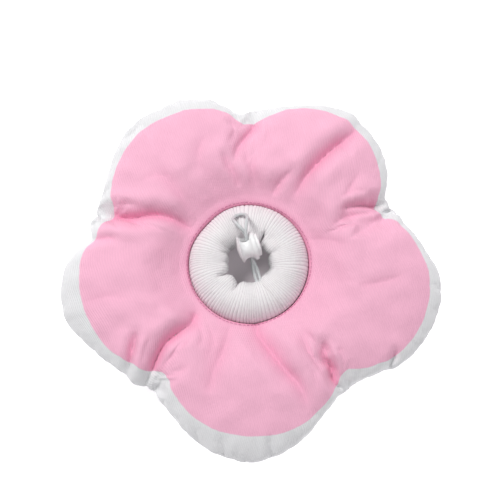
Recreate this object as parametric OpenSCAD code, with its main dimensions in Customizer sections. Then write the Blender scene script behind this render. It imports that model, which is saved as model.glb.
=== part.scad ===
// Soft protective collar for a cat or small dog: a padded five-petal flower with
// a gathered rib-knit neck cuff, an elastic drawcord and a spring cord lock.
//
// Frame: +Z is up, z = 0 is the plane that the collar lies on, and the Z axis is
// the axis of the neck hole. -Y points to the middle of the lowest petal.

/* [Pad] */
// Height of the rim seam above the surface that the collar lies on
seam_height = 22; // [16:1:28]
// Rise of the face panel above the rim seam, in the middle of a petal
face_rise = 25; // [18:1:30]
// Radius of each petal's round outline
petal_r = 76; // [70:1:82]
// Thickness of the face and back cloth
cloth_t = 0.8; // [0.6:0.1:1.2]
// Radius of the neck hole through the pad
neck_hole_r = 44; // [42:0.5:50]

/* [Neck cuff] */
// Radius of the cuff's round roll
roll_r = 15; // [13:0.5:17]
// Height of the roll's middle above the rest plane
roll_height = 26; // [24:1:30]
// How far the knit turns over towards the mouth, in degrees
roll_turn = 145; // [130:5:160]
// Thickness of the folded, two-layer rib knit
knit_t = 3; // [2.5:0.5:4]

/* [Drawcord] */
// Diameter of the elastic cord
cord_d = 2.4; // [2:0.1:2.6]
// Side-to-side distance of the two strands where they leave the cuff
strand_gap = 2.8; // [2.7:0.1:3.2]
// Direction round the mouth where the cord comes out, in degrees
exit_angle = 300; // [290:5:310]
// Heading of the loop seen from above, in degrees
loop_heading = 107; // [105:1:112]

/* [Cord lock] */
// Radius of the housing's flared ends
flare_r = 10.4; // [10:0.1:11]
// Radius of the housing's waist, where the cord goes through
waist_r = 7.5; // [7:0.1:8]
// Radius of the plunger's head
head_r = 8.3; // [7.5:0.1:8.4]
// Travel of the plunger
press = 2.4; // [1.5:0.1:2.4]
// Slope of the cord hole when the collar lies flat, in degrees
lock_slope = 40; // [35:1:45]

/* [Stitching] */
// Diameter of the sewing thread
thread_d = 0.5; // [0.3:0.1:0.8]
// Distance of the top stitch from the neck seam
topstitch_gap = 2; // [1.5:0.5:4]

/* [Hidden] */
$fn = 96;

neck_roll = face_rise + 3;
eps = 0.05;            // gap between pieces that are sewn or packed together
play = 0.3;            // gap between pieces that move on each other
PINK = [0.93, 0.62, 0.76];
WHITE = [0.93, 0.93, 0.94];
GREY = [0.72, 0.74, 0.75];

// Each petal's direction in degrees and how far it reaches from the neck axis.
PETALS = [[54, 135], [130, 136], [199, 142], [270, 147], [344, 145]];

cord_r = cord_d / 2;
cuff_r = neck_hole_r - eps;
roll_at = [cuff_r - roll_r, roll_height];
casing_r = knit_t - 0.1;
channel_r = cord_r + eps;
casing_at = roll_at + (roll_r - knit_t / 2) * [cos(roll_turn), sin(roll_turn)];
exit_r = casing_at[0] - casing_r - cord_r - play;
EXIT = [exit_r * cos(exit_angle), exit_r * sin(exit_angle), casing_at[1]];

// Route of one strand in the loop's frame, in mm from the exit: across the loop,
// along its heading, and up. The other strand mirrors it across the loop.
// The straight middle stretch is what the cord lock slides on.
LOCK_AT = [0, 22.2, 12.8];
ROUTE_OUT = [[1.4, 0, 0], [1.4, 3.5, 0.9], [1.3, 7, 2.2], [0.8, 10.5, 4.0]];
ROUTE_END = [
    [0.4, 31.6, 20.3], [1.2, 34.2, 21.9], [2.4, 37.0, 22.4], [3.7, 39.8, 21.3],
    [4.8, 42.3, 18.3], [5.2, 44.5, 14.0], [4.6, 46.4, 10.7], [2.7, 47.8, 8.6]
];
TIP = [0, 48.3, 7.9];
stack = 1.25;          // half the distance between the strands inside the lock
along = [0, cos(lock_slope), sin(lock_slope)];
above = [0, -sin(lock_slope), cos(lock_slope)];

// ---------------------------------------------------------------- helpers

function unit(v) = v / norm(v);
function flip(p) = [-p[0], p[1], p[2]];
function backwards(p) = [for (i = [len(p) - 1 : -1 : 0]) p[i]];
function curve(a, b, c, d, t) =
    0.5 * (2 * b + (c - a) * t + (2 * a - 5 * b + 4 * c - d) * t * t
           + (3 * b - a - 3 * c + d) * t * t * t);
function smooth(p, steps) = [
    for (i = [0 : len(p) - 2]) for (k = [0 : steps - 1])
        curve(p[max(i - 1, 0)], p[i], p[i + 1], p[min(i + 2, len(p) - 1)], k / steps),
    p[len(p) - 1]
];
function heading(p, i) = unit(p[min(i + 1, len(p) - 1)] - p[max(i - 1, 0)]);

// A round cord along the points p, with domed ends when dome is true.
module tube(p, r, sides, ref, dome = false) {
    last = len(p) - 1;
    caps = dome ? [20, 50] : [];
    rings = concat(
        [for (q = caps) [p[0] - heading(p, 0) * r * cos(q), heading(p, 0), r * sin(q)]],
        [for (i = [0 : last]) [p[i], heading(p, i), r]],
        [for (q = backwards(caps))
            [p[last] + heading(p, last) * r * cos(q), heading(p, last), r * sin(q)]]
    );
    n = len(rings);
    points = [
        for (ring = rings) let (a = unit(cross(ref, ring[1])), b = cross(ring[1], a))
            for (k = [0 : sides - 1])
                ring[0] + ring[2] * (a * cos(360 * k / sides) + b * sin(360 * k / sides))
    ];
    faces = concat(
        [[for (k = [0 : sides - 1]) k]],
        [[for (k = [sides - 1 : -1 : 0]) (n - 1) * sides + k]],
        [for (i = [0 : n - 2]) for (k = [0 : sides - 1]) let (j = (k + 1) % sides)
            for (f = [[i * sides + k, (i + 1) * sides + k, (i + 1) * sides + j],
                      [i * sides + k, (i + 1) * sides + j, i * sides + j]]) f]
    );
    polyhedron(points, faces, convexity = 8);
}

// ---------------------------------------------------------------- pad

function ball(h) = (petal_r * petal_r + h * h) / (2 * h);

// One petal: a lens between two spheres that meet in its round outline.
module lens(grow) {
    drop = seam_height + 14;
    intersection() {
        translate([0, 0, face_rise - ball(face_rise)]) sphere(ball(face_rise) + grow, $fn = 180);
        translate([0, 0, ball(drop) - drop]) sphere(ball(drop) + grow, $fn = 180);
    }
}

module flower(grow) {
    translate([0, 0, seam_height]) union() for (petal = PETALS)
        rotate(petal[0]) translate([petal[1] - petal_r, 0, 0]) lens(grow);
}

// Section of the ring that limits the pad: it rolls down to the neck seam.
module ring_section(grow) {
    difference() {
        translate([neck_hole_r - grow, -grow]) square([120, 70]);
        difference() {
            translate([neck_hole_r - 3, seam_height]) square([neck_roll + 3, 60]);
            translate([neck_hole_r + neck_roll, seam_height]) circle(neck_roll + grow, $fn = 120);
        }
    }
}

module pad(grow) {
    intersection() {
        flower(grow);
        rotate_extrude() ring_section(grow);
    }
}

module half_space(top) {
    translate([-200, -200, top ? seam_height : seam_height - 100]) cube([400, 400, 100]);
}

module face_panel() {
    color(PINK) difference() {
        intersection() { pad(0); half_space(true); }
        pad(-cloth_t);
    }
}

module back_panel() {
    color(WHITE) difference() {
        intersection() { pad(0); half_space(false); }
        pad(-cloth_t);
    }
}

module fibre_fill() {
    color("ivory") pad(-cloth_t - eps);
}

// ---------------------------------------------------------------- neck cuff

module wedge(turn) {
    polygon([[0, 0], [60, 0], [60, 60], [-60, 60], 80 * [cos(turn), sin(turn)]]);
}

module cuff_section() {
    difference() {
        union() {
            translate([cuff_r - knit_t, seam_height + eps])
                square([knit_t, roll_height - seam_height]);
            translate(roll_at) intersection() {
                difference() { circle(roll_r); circle(roll_r - knit_t); }
                wedge(roll_turn);
            }
            translate(casing_at) circle(casing_r);
        }
        translate(casing_at) circle(channel_r);
    }
}

module neck_cuff() {
    color(WHITE) difference() {
        rotate_extrude($fn = 120) cuff_section();
        // The slit that lets both ends of the cord out of the fold.
        translate(EXIT) rotate(loop_heading + 180)
            translate([0, -3.9, -cord_r - eps]) cube([5.2, 9.6, cord_d + 2 * eps]);
    }
}

module neck_topstitch() {
    // A thread ring that lies on the face panel's roll, just outside the neck seam.
    reach = neck_roll + thread_d / 2 + 0.02;
    out = neck_roll - topstitch_gap;
    color("plum") rotate_extrude($fn = 120)
        translate([neck_hole_r + neck_roll - out, seam_height + sqrt(reach * reach - out * out)])
            circle(thread_d / 2, $fn = 24);
}

module rim_seam_thread() {
    // One arc for each petal, between its meeting points with the next petals.
    count = len(PETALS);
    rim = petal_r + thread_d / 2 + 0.02;
    mid = [for (petal = PETALS) (petal[1] - petal_r) * [cos(petal[0]), sin(petal[0])]];
    color(WHITE) translate([0, 0, seam_height]) for (i = [0 : count - 1]) {
        ahead = mid[(i + 1) % count] - mid[i];
        behind = mid[(i + count - 1) % count] - mid[i];
        last = atan2(ahead[1], ahead[0]) - acos(norm(ahead) / 2 / rim) - 0.4;
        first = atan2(behind[1], behind[0]) + acos(norm(behind) / 2 / rim) + 0.4;
        translate([mid[i][0], mid[i][1], 0]) rotate(first)
            rotate_extrude(angle = (last - first + 720) % 360, $fn = 120)
                translate([rim, 0]) circle(thread_d / 2, $fn = 24);
    }
}

module cuff_seam_thread() {
    // The seam that closes the knit band runs over the roll in one plane.
    color(WHITE) rotate(exit_angle + 6) translate([roll_at[0], 0, roll_at[1]])
        rotate([90, 0, 0]) rotate(16) rotate_extrude(angle = roll_turn - 26)
            translate([roll_r + thread_d / 2 + 0.02, 0]) circle(thread_d / 2, $fn = 24);
}

// ---------------------------------------------------------------- drawcord

module loop_frame() {
    translate(EXIT) rotate(loop_heading - 90) children();
}

function in_lock(s, side) = LOCK_AT + s * along + side * stack * above;

function strand(side) = concat(
    ROUTE_OUT,
    [[0.2, 13.3, 6.0] + side * 0.7 * stack * above],
    [for (s = [-9, 0, 9]) in_lock(s, side)],
    [for (i = [0 : len(ROUTE_END) - 1])
        ROUTE_END[i] + side * stack * above * max(0, 0.7 - 0.35 * i)]
);

module drawcord_loop() {
    route = concat(
        smooth(concat(strand(1), [TIP], [for (p = backwards(strand(-1))) flip(p)]), 2)
    );
    color(GREY) loop_frame() tube(route, cord_r, 8, [0, 0.15, 1], dome = true);
}

module drawcord_in_casing() {
    // Both stubs stop just short of the loop, so the loop can swing.
    ring = casing_at[0];
    turn = 12;
    stub = [for (side = [1, -1])
        let (across = side * strand_gap / 2, a = loop_heading - 90)
            [for (back = [cord_r + play, cord_r + play + 0.9])
                EXIT + [cos(a), sin(a), 0] * across - [cos(a + 90), sin(a + 90), 0] * back]];
    arc = [for (a = [exit_angle + turn : 7 : exit_angle + 360 - turn])
        [ring * cos(a), ring * sin(a), casing_at[1]]];
    color(GREY) tube(concat(smooth(concat(stub[0], [arc[0]]), 3), [for (i = [1 : len(arc) - 2]) arc[i]],
        smooth(concat([arc[len(arc) - 1]], backwards(stub[1])), 3)), cord_r, 8, [0, 0, 1]);
}

// ---------------------------------------------------------------- cord lock

// The lock's frame: +X is the plunger's way out, +Y is the cord hole.
module lock_frame() {
    loop_frame() translate(LOCK_AT) rotate([lock_slope, 0, 0]) children();
}

module turned() { rotate([0, 90, 0]) rotate_extrude($fn = 96) children(); }

module slot(length, height) {
    corner = 1;
    rotate([90, 0, 0]) linear_extrude(30, center = true) union() {
        square([length - 2 * corner, height], center = true);
        square([length, height - 2 * corner], center = true);
        for (x = [-1, 1]) for (y = [-1, 1])
            translate([x * (length / 2 - corner), y * (height / 2 - corner)])
                circle(corner, $fn = 48);
    }
}

module lock_housing() {
    color(WHITE) lock_frame() difference() {
        turned() difference() {
            intersection() {
                translate([0, -8.7]) square([flare_r, 13.9]);
                translate([0, 16.3]) circle(25);
                difference() {
                    translate([0, -10]) square([12, 20]);
                    translate([waist_r + 5, -1.9]) circle(5);
                }
            }
            translate([-1, -7.2]) square([6, 20]);
            translate([-1, 2.3]) square([head_r + play + 1, 5]);
        }
        translate([-1.95, 0, 0]) slot(6.9, 5.8);
    }
}

module lock_plunger() {
    color(WHITE) lock_frame() difference() {
        union() {
            turned() translate([0, -3]) square([5 - play, 9]);
            turned() intersection() {
                translate([0, 2.6 + press]) square([head_r, 6]);
                translate([0, 8.7 - 30]) circle(30);
            }
        }
        translate([1.3, 0, 0]) slot(5.6, 5.6);
    }
}

module lock_spring() {
    coil = 3;
    wire = 0.3;
    turns = 3;
    start = -7.2 + wire + eps;
    travel = 4.2 - 2 * (wire + eps);
    color("silver") lock_frame() tube([for (k = [0 : turns * 14])
        let (a = 360 * k / 14)
            [start + travel * k / (turns * 14), coil * cos(a), coil * sin(a)]], wire, 8, [1, 0, 0]);
}

face_panel();
back_panel();
fibre_fill();
neck_cuff();
neck_topstitch();
rim_seam_thread();
cuff_seam_thread();
drawcord_in_casing();
drawcord_loop();
lock_housing();
lock_plunger();
lock_spring();
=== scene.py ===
"""Soft five-petal recovery collar: printed padded flower, rib-knit neck cuff, elastic
drawcord and spring cord lock. Metres, in the same frame as the solids."""
import math

import bmesh
import bpy
import numpy as np
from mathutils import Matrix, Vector
from mathutils.geometry import delaunay_2d_cdt


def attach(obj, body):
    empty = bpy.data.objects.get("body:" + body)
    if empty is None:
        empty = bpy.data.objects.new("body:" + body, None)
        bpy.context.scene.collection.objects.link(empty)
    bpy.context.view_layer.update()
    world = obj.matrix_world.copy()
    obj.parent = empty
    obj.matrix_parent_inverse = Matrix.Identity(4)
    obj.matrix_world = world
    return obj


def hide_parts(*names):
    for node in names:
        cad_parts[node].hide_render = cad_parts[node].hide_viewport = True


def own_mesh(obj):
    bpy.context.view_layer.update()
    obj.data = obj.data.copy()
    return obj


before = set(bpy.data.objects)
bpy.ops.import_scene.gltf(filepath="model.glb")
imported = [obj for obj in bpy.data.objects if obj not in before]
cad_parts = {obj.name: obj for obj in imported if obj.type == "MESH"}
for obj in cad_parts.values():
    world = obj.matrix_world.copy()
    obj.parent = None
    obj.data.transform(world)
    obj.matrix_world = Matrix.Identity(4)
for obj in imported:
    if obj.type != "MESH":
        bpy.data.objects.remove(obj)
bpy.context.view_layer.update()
scene = bpy.context.scene
MM = 0.001

# ------------------------------------------------------------------ measures

NECK = 44 * MM            # radius of the neck seam
SEAM_Z = 22 * MM          # height of the rim seam and the neck seam
ROLL_AT = (28.95 * MM, 26 * MM)
ROLL_TURN = math.radians(145)
CHANNEL_R = 13.5 * MM     # from the middle of the roll to the cord's channel
CASING = (ROLL_AT[0] + CHANNEL_R * math.cos(ROLL_TURN),
          ROLL_AT[1] + CHANNEL_R * math.sin(ROLL_TURN))
EXIT_TURN = math.radians(300)
EXIT_R = CASING[0] - 4.4 * MM
EXIT = np.array([EXIT_R * math.cos(EXIT_TURN), EXIT_R * math.sin(EXIT_TURN), CASING[1]])
HEADING = math.radians(107)
ACROSS = np.array([math.sin(HEADING), -math.cos(HEADING), 0.0])
FORWARD = np.array([math.cos(HEADING), math.sin(HEADING), 0.0])
UP = np.array([0.0, 0.0, 1.0])
SLOPE = math.radians(40)
CORD_D = 2.4 * MM

# Circles fitted to the petals of the outline and of the printed flower, as the pad
# lies: direction in degrees, distance of the petal's middle, and its radius.
PETALS = [(53.5, 0.0680, 0.0638), (126.0, 0.0646, 0.0696), (196.9, 0.0675, 0.0709),
          (270.1, 0.0715, 0.0733), (342.9, 0.0760, 0.0671)]
PRINT = [(55.3, 0.0698, 0.0570), (125.5, 0.0597, 0.0651), (193.9, 0.0607, 0.0638),
         (272.4, 0.0612, 0.0664), (344.9, 0.0745, 0.0592)]

# The rim as the filled pad lies, corner by corner, in mm from the neck axis.
RIM = [(-7.1, 114.4), (-28.3, 125.5), (-52.6, 125), (-66.8, 117.4), (-76.9, 112.3),
       (-89.1, 104.2), (-98.2, 89.1), (-104.2, 71.9), (-109.3, 53.6), (-114.4, 38.5),
       (-119.4, 32.4), (-117.4, 18.2), (-129.5, 8.1), (-136.6, -2), (-139.7, -22.3),
       (-135.6, -42.5), (-119.4, -59.7), (-101.2, -74.9), (-91.1, -82), (-86, -89.1),
       (-71.9, -93.1), (-60.7, -108.3), (-45.5, -125.5), (-28.3, -138.6), (-15.2, -143.7),
       (0, -146.7), (12.1, -144.7), (25.3, -139.7), (40.5, -129.5), (55.7, -111.3),
       (66.8, -98.2), (72.9, -93.1), (83, -86), (101.2, -78.9), (107.3, -77.9),
       (119.4, -69.8), (128.5, -59.7), (136.6, -45.5), (142.7, -28.3), (141.7, -7.1),
       (131.6, 11.1), (119.4, 28.3), (109.3, 41.5), (102.7, 50.6), (104.7, 65.8), (102.2, 82),
       (94.1, 96.1), (83, 107.3), (77.9, 114.4), (60.7, 119.4), (40.5, 120.9), (20.2, 119.4),
       (0, 116.9)]


def catmull(points, steps):
    p = np.array(points, float)
    out = []
    for i in range(len(p) - 1):
        a, b, c, d = p[max(i - 1, 0)], p[i], p[i + 1], p[min(i + 2, len(p) - 1)]
        for k in range(steps):
            t = k / steps
            out.append(0.5 * (2 * b + (c - a) * t + (2 * a - 5 * b + 4 * c - d) * t * t
                              + (3 * b - a - 3 * c + d) * t ** 3))
    return np.array(out + [p[-1]])


def mesh_piece(name, verts, faces, smooth=True):
    mesh = bpy.data.meshes.new(name)
    mesh.from_pydata([tuple(v) for v in np.asarray(verts, float)], [],
                     [tuple(int(i) for i in f) for f in faces])
    mesh.update()
    piece = bpy.data.objects.new(name, mesh)
    scene.collection.objects.link(piece)
    mesh.polygons.foreach_set("use_smooth", [smooth] * len(mesh.polygons))
    return piece


def float_attribute(piece, name, values):
    layer = piece.data.attributes.new(name, "FLOAT", "POINT")
    layer.data.foreach_set("value", np.asarray(values, np.float32))


def read_attribute(mesh, name, kind=np.float32):
    data = mesh.attributes[name].data
    values = np.empty(len(data), kind)
    data.foreach_get("value", values)
    return values


def read_points(mesh):
    co = np.empty(len(mesh.vertices) * 3)
    mesh.vertices.foreach_get("co", co)
    return co.reshape(-1, 3)


def evaluated(piece):
    return piece.evaluated_get(bpy.context.evaluated_depsgraph_get())


def face_outward(piece, weld=0.0):
    """Weld corners closer than `weld`, if given, and turn every face outward."""
    work = bmesh.new()
    work.from_mesh(piece.data)
    if weld:
        bmesh.ops.remove_doubles(work, verts=work.verts, dist=weld)
    bmesh.ops.recalc_face_normals(work, faces=work.faces)
    work.to_mesh(piece.data)
    work.free()
    return piece


def point_uv(piece, uv):
    layer = piece.data.uv_layers.new(name="UVMap")
    corner = np.empty(len(piece.data.loops), np.int32)
    piece.data.loops.foreach_get("vertex_index", corner)
    layer.data.foreach_set("uv", np.asarray(uv, np.float32)[corner].ravel())


# ------------------------------------------------------------------ camera and light

def aim(obj, target):
    obj.rotation_euler = (Vector(target) - obj.location).to_track_quat("-Z", "Y").to_euler()


def studio_camera():
    target = Vector((0.0010, 0.0104, 0.028))
    elevation, distance, view_width, sensor = math.radians(81), 1.5, 0.370, 36
    camera = bpy.data.objects.new("camera", bpy.data.cameras.new("camera"))
    scene.collection.objects.link(camera)
    camera.location = target + distance * Vector((
        0, -math.cos(elevation), math.sin(elevation)))
    aim(camera, target)
    camera.data.sensor_width = sensor
    camera.data.lens = sensor * distance / view_width
    camera.data.clip_end = 20
    scene.camera = camera


def soft_box(name, place, size, power, tint):
    light = bpy.data.objects.new(name, bpy.data.lights.new(name, "AREA"))
    light.data.shape = "DISK"
    light.data.size = size
    light.data.energy = power
    light.data.color = tint
    light.location = place
    aim(light, (0, 0, 0.03))
    scene.collection.objects.link(light)


def studio_light():
    soft_box("key_soft_box", (-1.15, 1.4, 2.5), 1.1, 69.0, (1.0, 0.99, 0.98))
    soft_box("fill_soft_box", (1.4, -0.4, 2.3), 1.6, 19.0, (1.0, 0.985, 0.99))
    world = bpy.data.worlds.new("studio_air")
    world.use_nodes = True
    air = world.node_tree.nodes["Background"]
    air.inputs["Color"].default_value = (0.98, 0.985, 1.0, 1)
    air.inputs["Strength"].default_value = 0.22
    scene.world = world
    scene.view_settings.view_transform = "Standard"


def studio_floor():
    """Paper that glows around the pad, painted light that fills in the pad's shadow; under the pad it glows
    less and is a little pink, painted shade with a pink cast from the cloth.
    """
    half, below = 3, -0.0004
    white, floor_shade_pink = (0.9, 0.9, 0.905, 1), (0.86, 0.76, 0.82, 1)
    floor = mesh_piece("studio_floor", [(-half, -half, below), (half, -half, below),
                                        (half, half, below), (-half, half, below)],
                       [(0, 1, 2, 3)], False)
    paper = bpy.data.materials.new("studio_paper")
    paper.use_nodes = True
    nodes, links = paper.node_tree.nodes, paper.node_tree.links
    shader = nodes["Principled BSDF"]
    shader.inputs["Roughness"].default_value = 0.9
    shader.inputs["Emission Color"].default_value = (1, 1, 1, 1)
    where = nodes.new("ShaderNodeTexCoord")
    reach = nodes.new("ShaderNodeVectorMath")
    reach.operation = "LENGTH"
    # Painted light and shade: the glow is faint under the pad and strong beyond it.
    glow = nodes.new("ShaderNodeMapRange")
    glow.interpolation_type = "SMOOTHSTEP"
    for label, value in (("From Min", 0.07), ("From Max", 0.15), ("To Min", 0.07), ("To Max", 0.85)):
        glow.inputs[label].default_value = value
    links.new(where.outputs["Object"], reach.inputs[0])
    links.new(reach.outputs["Value"], glow.inputs["Value"])
    links.new(glow.outputs["Result"], shader.inputs["Emission Strength"])
    # Painted shade: the paper turns pink-grey under the pad, where the floor shows through the neck hole.
    shade = nodes.new("ShaderNodeMix")
    shade.data_type = "RGBA"
    near, far = [s for s in shade.inputs if s.type == "RGBA"]
    near.default_value, far.default_value = floor_shade_pink, white
    links.new(glow.outputs["Result"], shade.inputs["Factor"])
    links.new([s for s in shade.outputs if s.type == "RGBA"][0], shader.inputs["Base Color"])
    floor.data.materials.append(paper)


studio_camera()
studio_light()
studio_floor()

# ------------------------------------------------------------------ material helpers


class Finish:
    """A principled material with a few helpers for wiring its texture nodes."""

    def __init__(self, name, color, roughness, **sockets):
        self.material = bpy.data.materials.new(name)
        self.material.use_nodes = True
        self.nodes = self.material.node_tree.nodes
        self.links = self.material.node_tree.links
        self.shader = self.nodes["Principled BSDF"]
        self.shader.inputs["Base Color"].default_value = (*color, 1)
        self.shader.inputs["Roughness"].default_value = roughness
        for socket, value in sockets.items():
            self.shader.inputs[socket.replace("_", " ")].default_value = value

    def add(self, kind, **values):
        node = self.nodes.new(kind)
        for key, value in values.items():
            if key in node.inputs:
                node.inputs[key].default_value = value
            else:
                setattr(node, key, value)
        return node

    def link(self, a, b):
        self.links.new(a, b)

    def math(self, operation, a, b=None, clamp=False):
        node = self.nodes.new("ShaderNodeMath")
        node.operation = operation
        node.use_clamp = clamp
        for i, value in enumerate((a, b)):
            if value is None:
                continue
            if isinstance(value, (int, float)):
                node.inputs[i].default_value = value
            else:
                self.links.new(value, node.inputs[i])
        return node.outputs[0]

    def sway(self, value, amount):
        """A 0-1 value made to swing about zero by the given amount."""
        return self.math("MULTIPLY", self.math("SUBTRACT", value, 0.5), amount)

    def mix(self, factor, a, b):
        node = self.nodes.new("ShaderNodeMix")
        node.data_type = "RGBA"
        for socket, value in (("Factor", factor), ("A", a), ("B", b)):
            target = [s for s in node.inputs if s.name == socket and (
                s.type == "RGBA" or socket == "Factor" and s.type == "VALUE")][0]
            if isinstance(value, (tuple, float)):
                target.default_value = (*value, 1) if isinstance(value, tuple) else value
            else:
                self.links.new(value, target)
        return [s for s in node.outputs if s.type == "RGBA"][0]

    def noise(self, vector, scale, detail=2.0, rough=0.5):
        node = self.add("ShaderNodeTexNoise")
        node.inputs["Scale"].default_value = scale
        node.inputs["Detail"].default_value = detail
        node.inputs["Roughness"].default_value = rough
        self.links.new(vector, node.inputs["Vector"])
        return node.outputs["Fac"]

    def bump(self, height, distance, strength=1.0, after=None):
        node = self.nodes.new("ShaderNodeBump")
        node.inputs["Distance"].default_value = distance
        node.inputs["Strength"].default_value = strength
        self.links.new(height, node.inputs["Height"])
        if after is not None:
            self.links.new(after, node.inputs["Normal"])
        return node.outputs["Normal"]

    def axes(self, vector):
        node = self.nodes.new("ShaderNodeSeparateXYZ")
        self.links.new(vector, node.inputs[0])
        return node.outputs

    def uv(self):
        return self.add("ShaderNodeTexCoord").outputs["UV"]

    def place(self):
        return self.add("ShaderNodeTexCoord").outputs["Object"]


PINK = (0.92, 0.485, 0.645)
PAINTED_SHADE_PINK = (0.80, 0.285, 0.455)
PAPER_WHITE = (0.79, 0.792, 0.81)


def peach_skin(name, printed):
    """Fine twill polyester: a faint diagonal line weave, soft crinkle and peach sheen."""
    f = Finish(name, PAPER_WHITE, 0.78, Sheen_Weight=0.18, Sheen_Roughness=0.45,
               Specular_IOR_Level=0.22)
    f.shader.inputs["Sheen Tint"].default_value = (1.0, 0.95, 0.97, 1)
    uv, place = f.uv(), f.place()
    x, y, _ = f.axes(uv)
    wander = f.math("MULTIPLY", f.noise(uv, 130.0, 2.0), 3.0)
    lean = f.math("ADD", wander, f.math(
        "ADD", f.math("MULTIPLY", x, 3730.0), f.math("MULTIPLY", y, 1180.0)))
    twill = f.math("SINE", lean)
    thread = f.math("SINE", f.math("MULTIPLY", y, 9800.0))
    weave = f.math("ADD", twill, f.math("MULTIPLY", thread, 0.4))
    crinkle = f.noise(place, 62.0, 3.0, 0.55)
    grain = f.noise(uv, 2600.0, 2.0, 0.6)
    normal = f.bump(crinkle, 0.0022, 0.5)
    normal = f.bump(grain, 0.00012, 0.35, normal)
    normal = f.bump(weave, 0.00010, 0.6, normal)
    f.link(normal, f.shader.inputs["Normal"])
    mottle = f.sway(f.noise(place, 30.0), 0.06)
    fleck = f.sway(grain, 0.05)
    # Painted shade: the colour is a little darker where the twill's bump is low.
    lines = f.math("MULTIPLY", twill, f.math(
        "MULTIPLY", f.noise(uv, 300.0, 2.0), 0.042))
    shade = f.math("ADD", 1.0, f.math("ADD", mottle, f.math("ADD", fleck, lines)))
    if printed:
        edge = f.add("ShaderNodeAttribute", attribute_name="print_edge").outputs["Fac"]
        ragged = f.math("ADD", edge, f.sway(f.noise(uv, 420.0), 0.0004))
        ink = f.add("ShaderNodeMapRange")
        ink.inputs["From Min"].default_value = -0.00035
        ink.inputs["From Max"].default_value = 0.00035
        f.link(ragged, ink.inputs["Value"])
        # Painted shade: the pink is deepened in the creases and beside the cuff, on top of the shade that
        # the light gives.
        fold = f.add("ShaderNodeAttribute", attribute_name="fold").outputs["Fac"]
        base = f.mix(ink.outputs["Result"], f.mix(fold, PINK, PAINTED_SHADE_PINK), PAPER_WHITE)
    tone = f.nodes.new("ShaderNodeVectorMath")
    tone.operation = "SCALE"
    if printed:
        f.link(base, tone.inputs[0])
    else:
        tone.inputs[0].default_value = PAPER_WHITE
    f.link(shade, tone.inputs["Scale"])
    f.link(tone.outputs[0], f.shader.inputs["Base Color"])
    rough = f.math("ADD", 0.74, f.math("MULTIPLY", grain, 0.12))
    f.link(rough, f.shader.inputs["Roughness"])
    return f.material


def rib_knit(name):
    """Matte rib knit: its ribs are modelled, the small stitches of each rib are bump, and the grooves
    between the ribs are darkened in the colour as painted shade.
    """
    f = Finish(name, (0.80, 0.775, 0.79), 0.9, Sheen_Weight=0.25, Sheen_Roughness=0.5,
               Specular_IOR_Level=0.12)
    uv, place = f.uv(), f.place()
    u, v, _ = f.axes(uv)
    rib = f.math("FRACT", u)
    legs = f.math("ABSOLUTE", f.math("SUBTRACT", rib, 0.5))
    chain = f.math("SINE", f.math("ADD", f.math("MULTIPLY", v, 5600.0), f.math("MULTIPLY", legs, 9.0)))
    fuzz = f.noise(place, 2400.0, 2.0, 0.65)
    normal = f.bump(chain, 0.00009, 0.7)
    normal = f.bump(fuzz, 0.00012, 0.5, normal)
    f.link(normal, f.shader.inputs["Normal"])
    # Painted shade: the knit's colour darkens to a pinkish grey in the grooves between the ribs; the noise
    # adds a random mottle.
    painted_groove_shade = f.add("ShaderNodeAttribute", attribute_name="painted_groove_shade").outputs["Fac"]
    groove_shade_and_mottle = f.math("ADD", f.math("MULTIPLY", painted_groove_shade, 0.62),
                   f.sway(f.noise(place, 420.0), 0.25), clamp=True)
    f.link(f.mix(groove_shade_and_mottle, (0.885, 0.867, 0.88), (0.46, 0.38, 0.425)), f.shader.inputs["Base Color"])
    return f.material


def fibre(name):
    f = Finish(name, (0.9, 0.9, 0.88), 0.95, Specular_IOR_Level=0.1)
    place = f.place()
    clump = f.noise(place, 90.0, 6.0, 0.7)
    f.link(f.bump(clump, 0.003, 0.8), f.shader.inputs["Normal"])
    f.link(f.mix(clump, (0.80, 0.80, 0.78), (0.93, 0.93, 0.91)), f.shader.inputs["Base Color"])
    return f.material


def spun_thread(name, color, dark):
    f = Finish(name, color, 0.7, Sheen_Weight=0.2, Specular_IOR_Level=0.3)
    place = f.place()
    twist = f.noise(place, 3500.0, 2.0, 0.6)
    f.link(f.bump(twist, 0.00008, 0.6), f.shader.inputs["Normal"])
    f.link(f.mix(twist, dark, color), f.shader.inputs["Base Color"])
    return f.material


def elastic_cord(name):
    """Smooth braided cover over an elastic core: fine crossing strands from its own UV."""
    f = Finish(name, (0.66, 0.68, 0.69), 0.5, Sheen_Weight=0.15, Specular_IOR_Level=0.4)
    u, v, _ = f.axes(f.uv())
    around = f.math("MULTIPLY", u, 2 * math.pi * 8)
    length = f.math("MULTIPLY", v, 2 * math.pi * 620)
    left = f.math("SINE", f.math("ADD", around, length))
    right = f.math("SINE", f.math("SUBTRACT", around, length))
    braid = f.math("MAXIMUM", left, right)
    f.link(f.bump(braid, 0.00010, 0.6), f.shader.inputs["Normal"])
    # Painted shade: the cover's colour is darker where the braid's bump is low, between the strands.
    shade = f.math("MULTIPLY", f.math("ADD", braid, 1.0), 0.5)
    f.link(f.mix(shade, (0.50, 0.53, 0.545), (0.73, 0.75, 0.76)), f.shader.inputs["Base Color"])
    return f.material


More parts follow.
